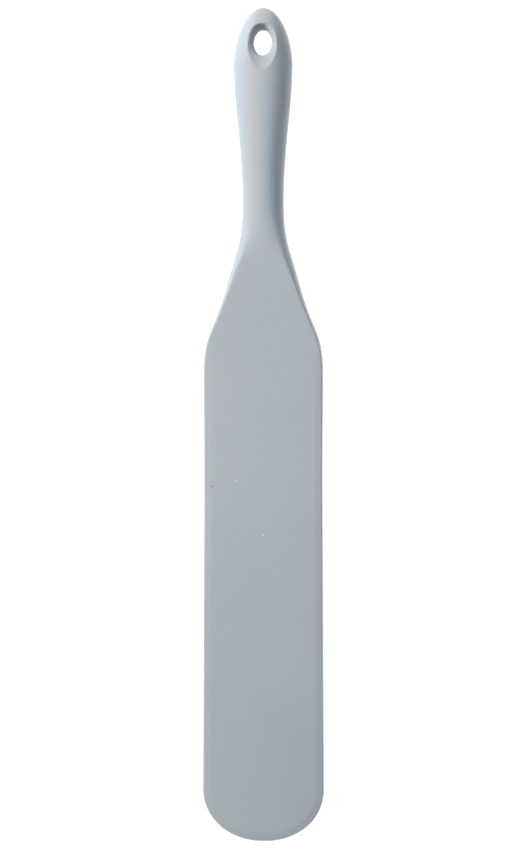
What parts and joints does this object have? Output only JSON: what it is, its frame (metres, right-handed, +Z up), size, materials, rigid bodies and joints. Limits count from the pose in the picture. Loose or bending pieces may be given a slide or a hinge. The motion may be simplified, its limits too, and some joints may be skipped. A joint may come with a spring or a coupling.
{
  "type": "flexible silicone spatula",
  "caption": "Long flexible flat spatula with a round tip: a stainless strip and a nylon handle core under one seamless matt silicone jacket, with a hanging hole.",
  "frame": {"origin": "the middle of the tool's box, on the surface that it lies on", "axes": "+Y runs towards the handle's end, +X across the blade, +Z up. The tool lies on its handle's belly and the underside of its tip, which tilts it by 1.213 degrees about X."},
  "size_m": [0.0466, 0.3199, 0.0151],
  "materials": {
    "silicone": "matt blue-grey platinum silicone, soft satin sheen",
    "stainless": "brushed along its length, blanked and deburred",
    "nylon": "dark glass-filled nylon, fine spark-eroded texture",
    "spacer_silicone": "the jacket's silicone, moulded earlier, matt"
  },
  "bodies": {
    "root": {"silicone_jacket": "silicone", "blade_core": "stainless", "handle_core_front": "nylon", "handle_core_back": "nylon", "core_spacers": "spacer_silicone"}
  },
  "joints": []
}
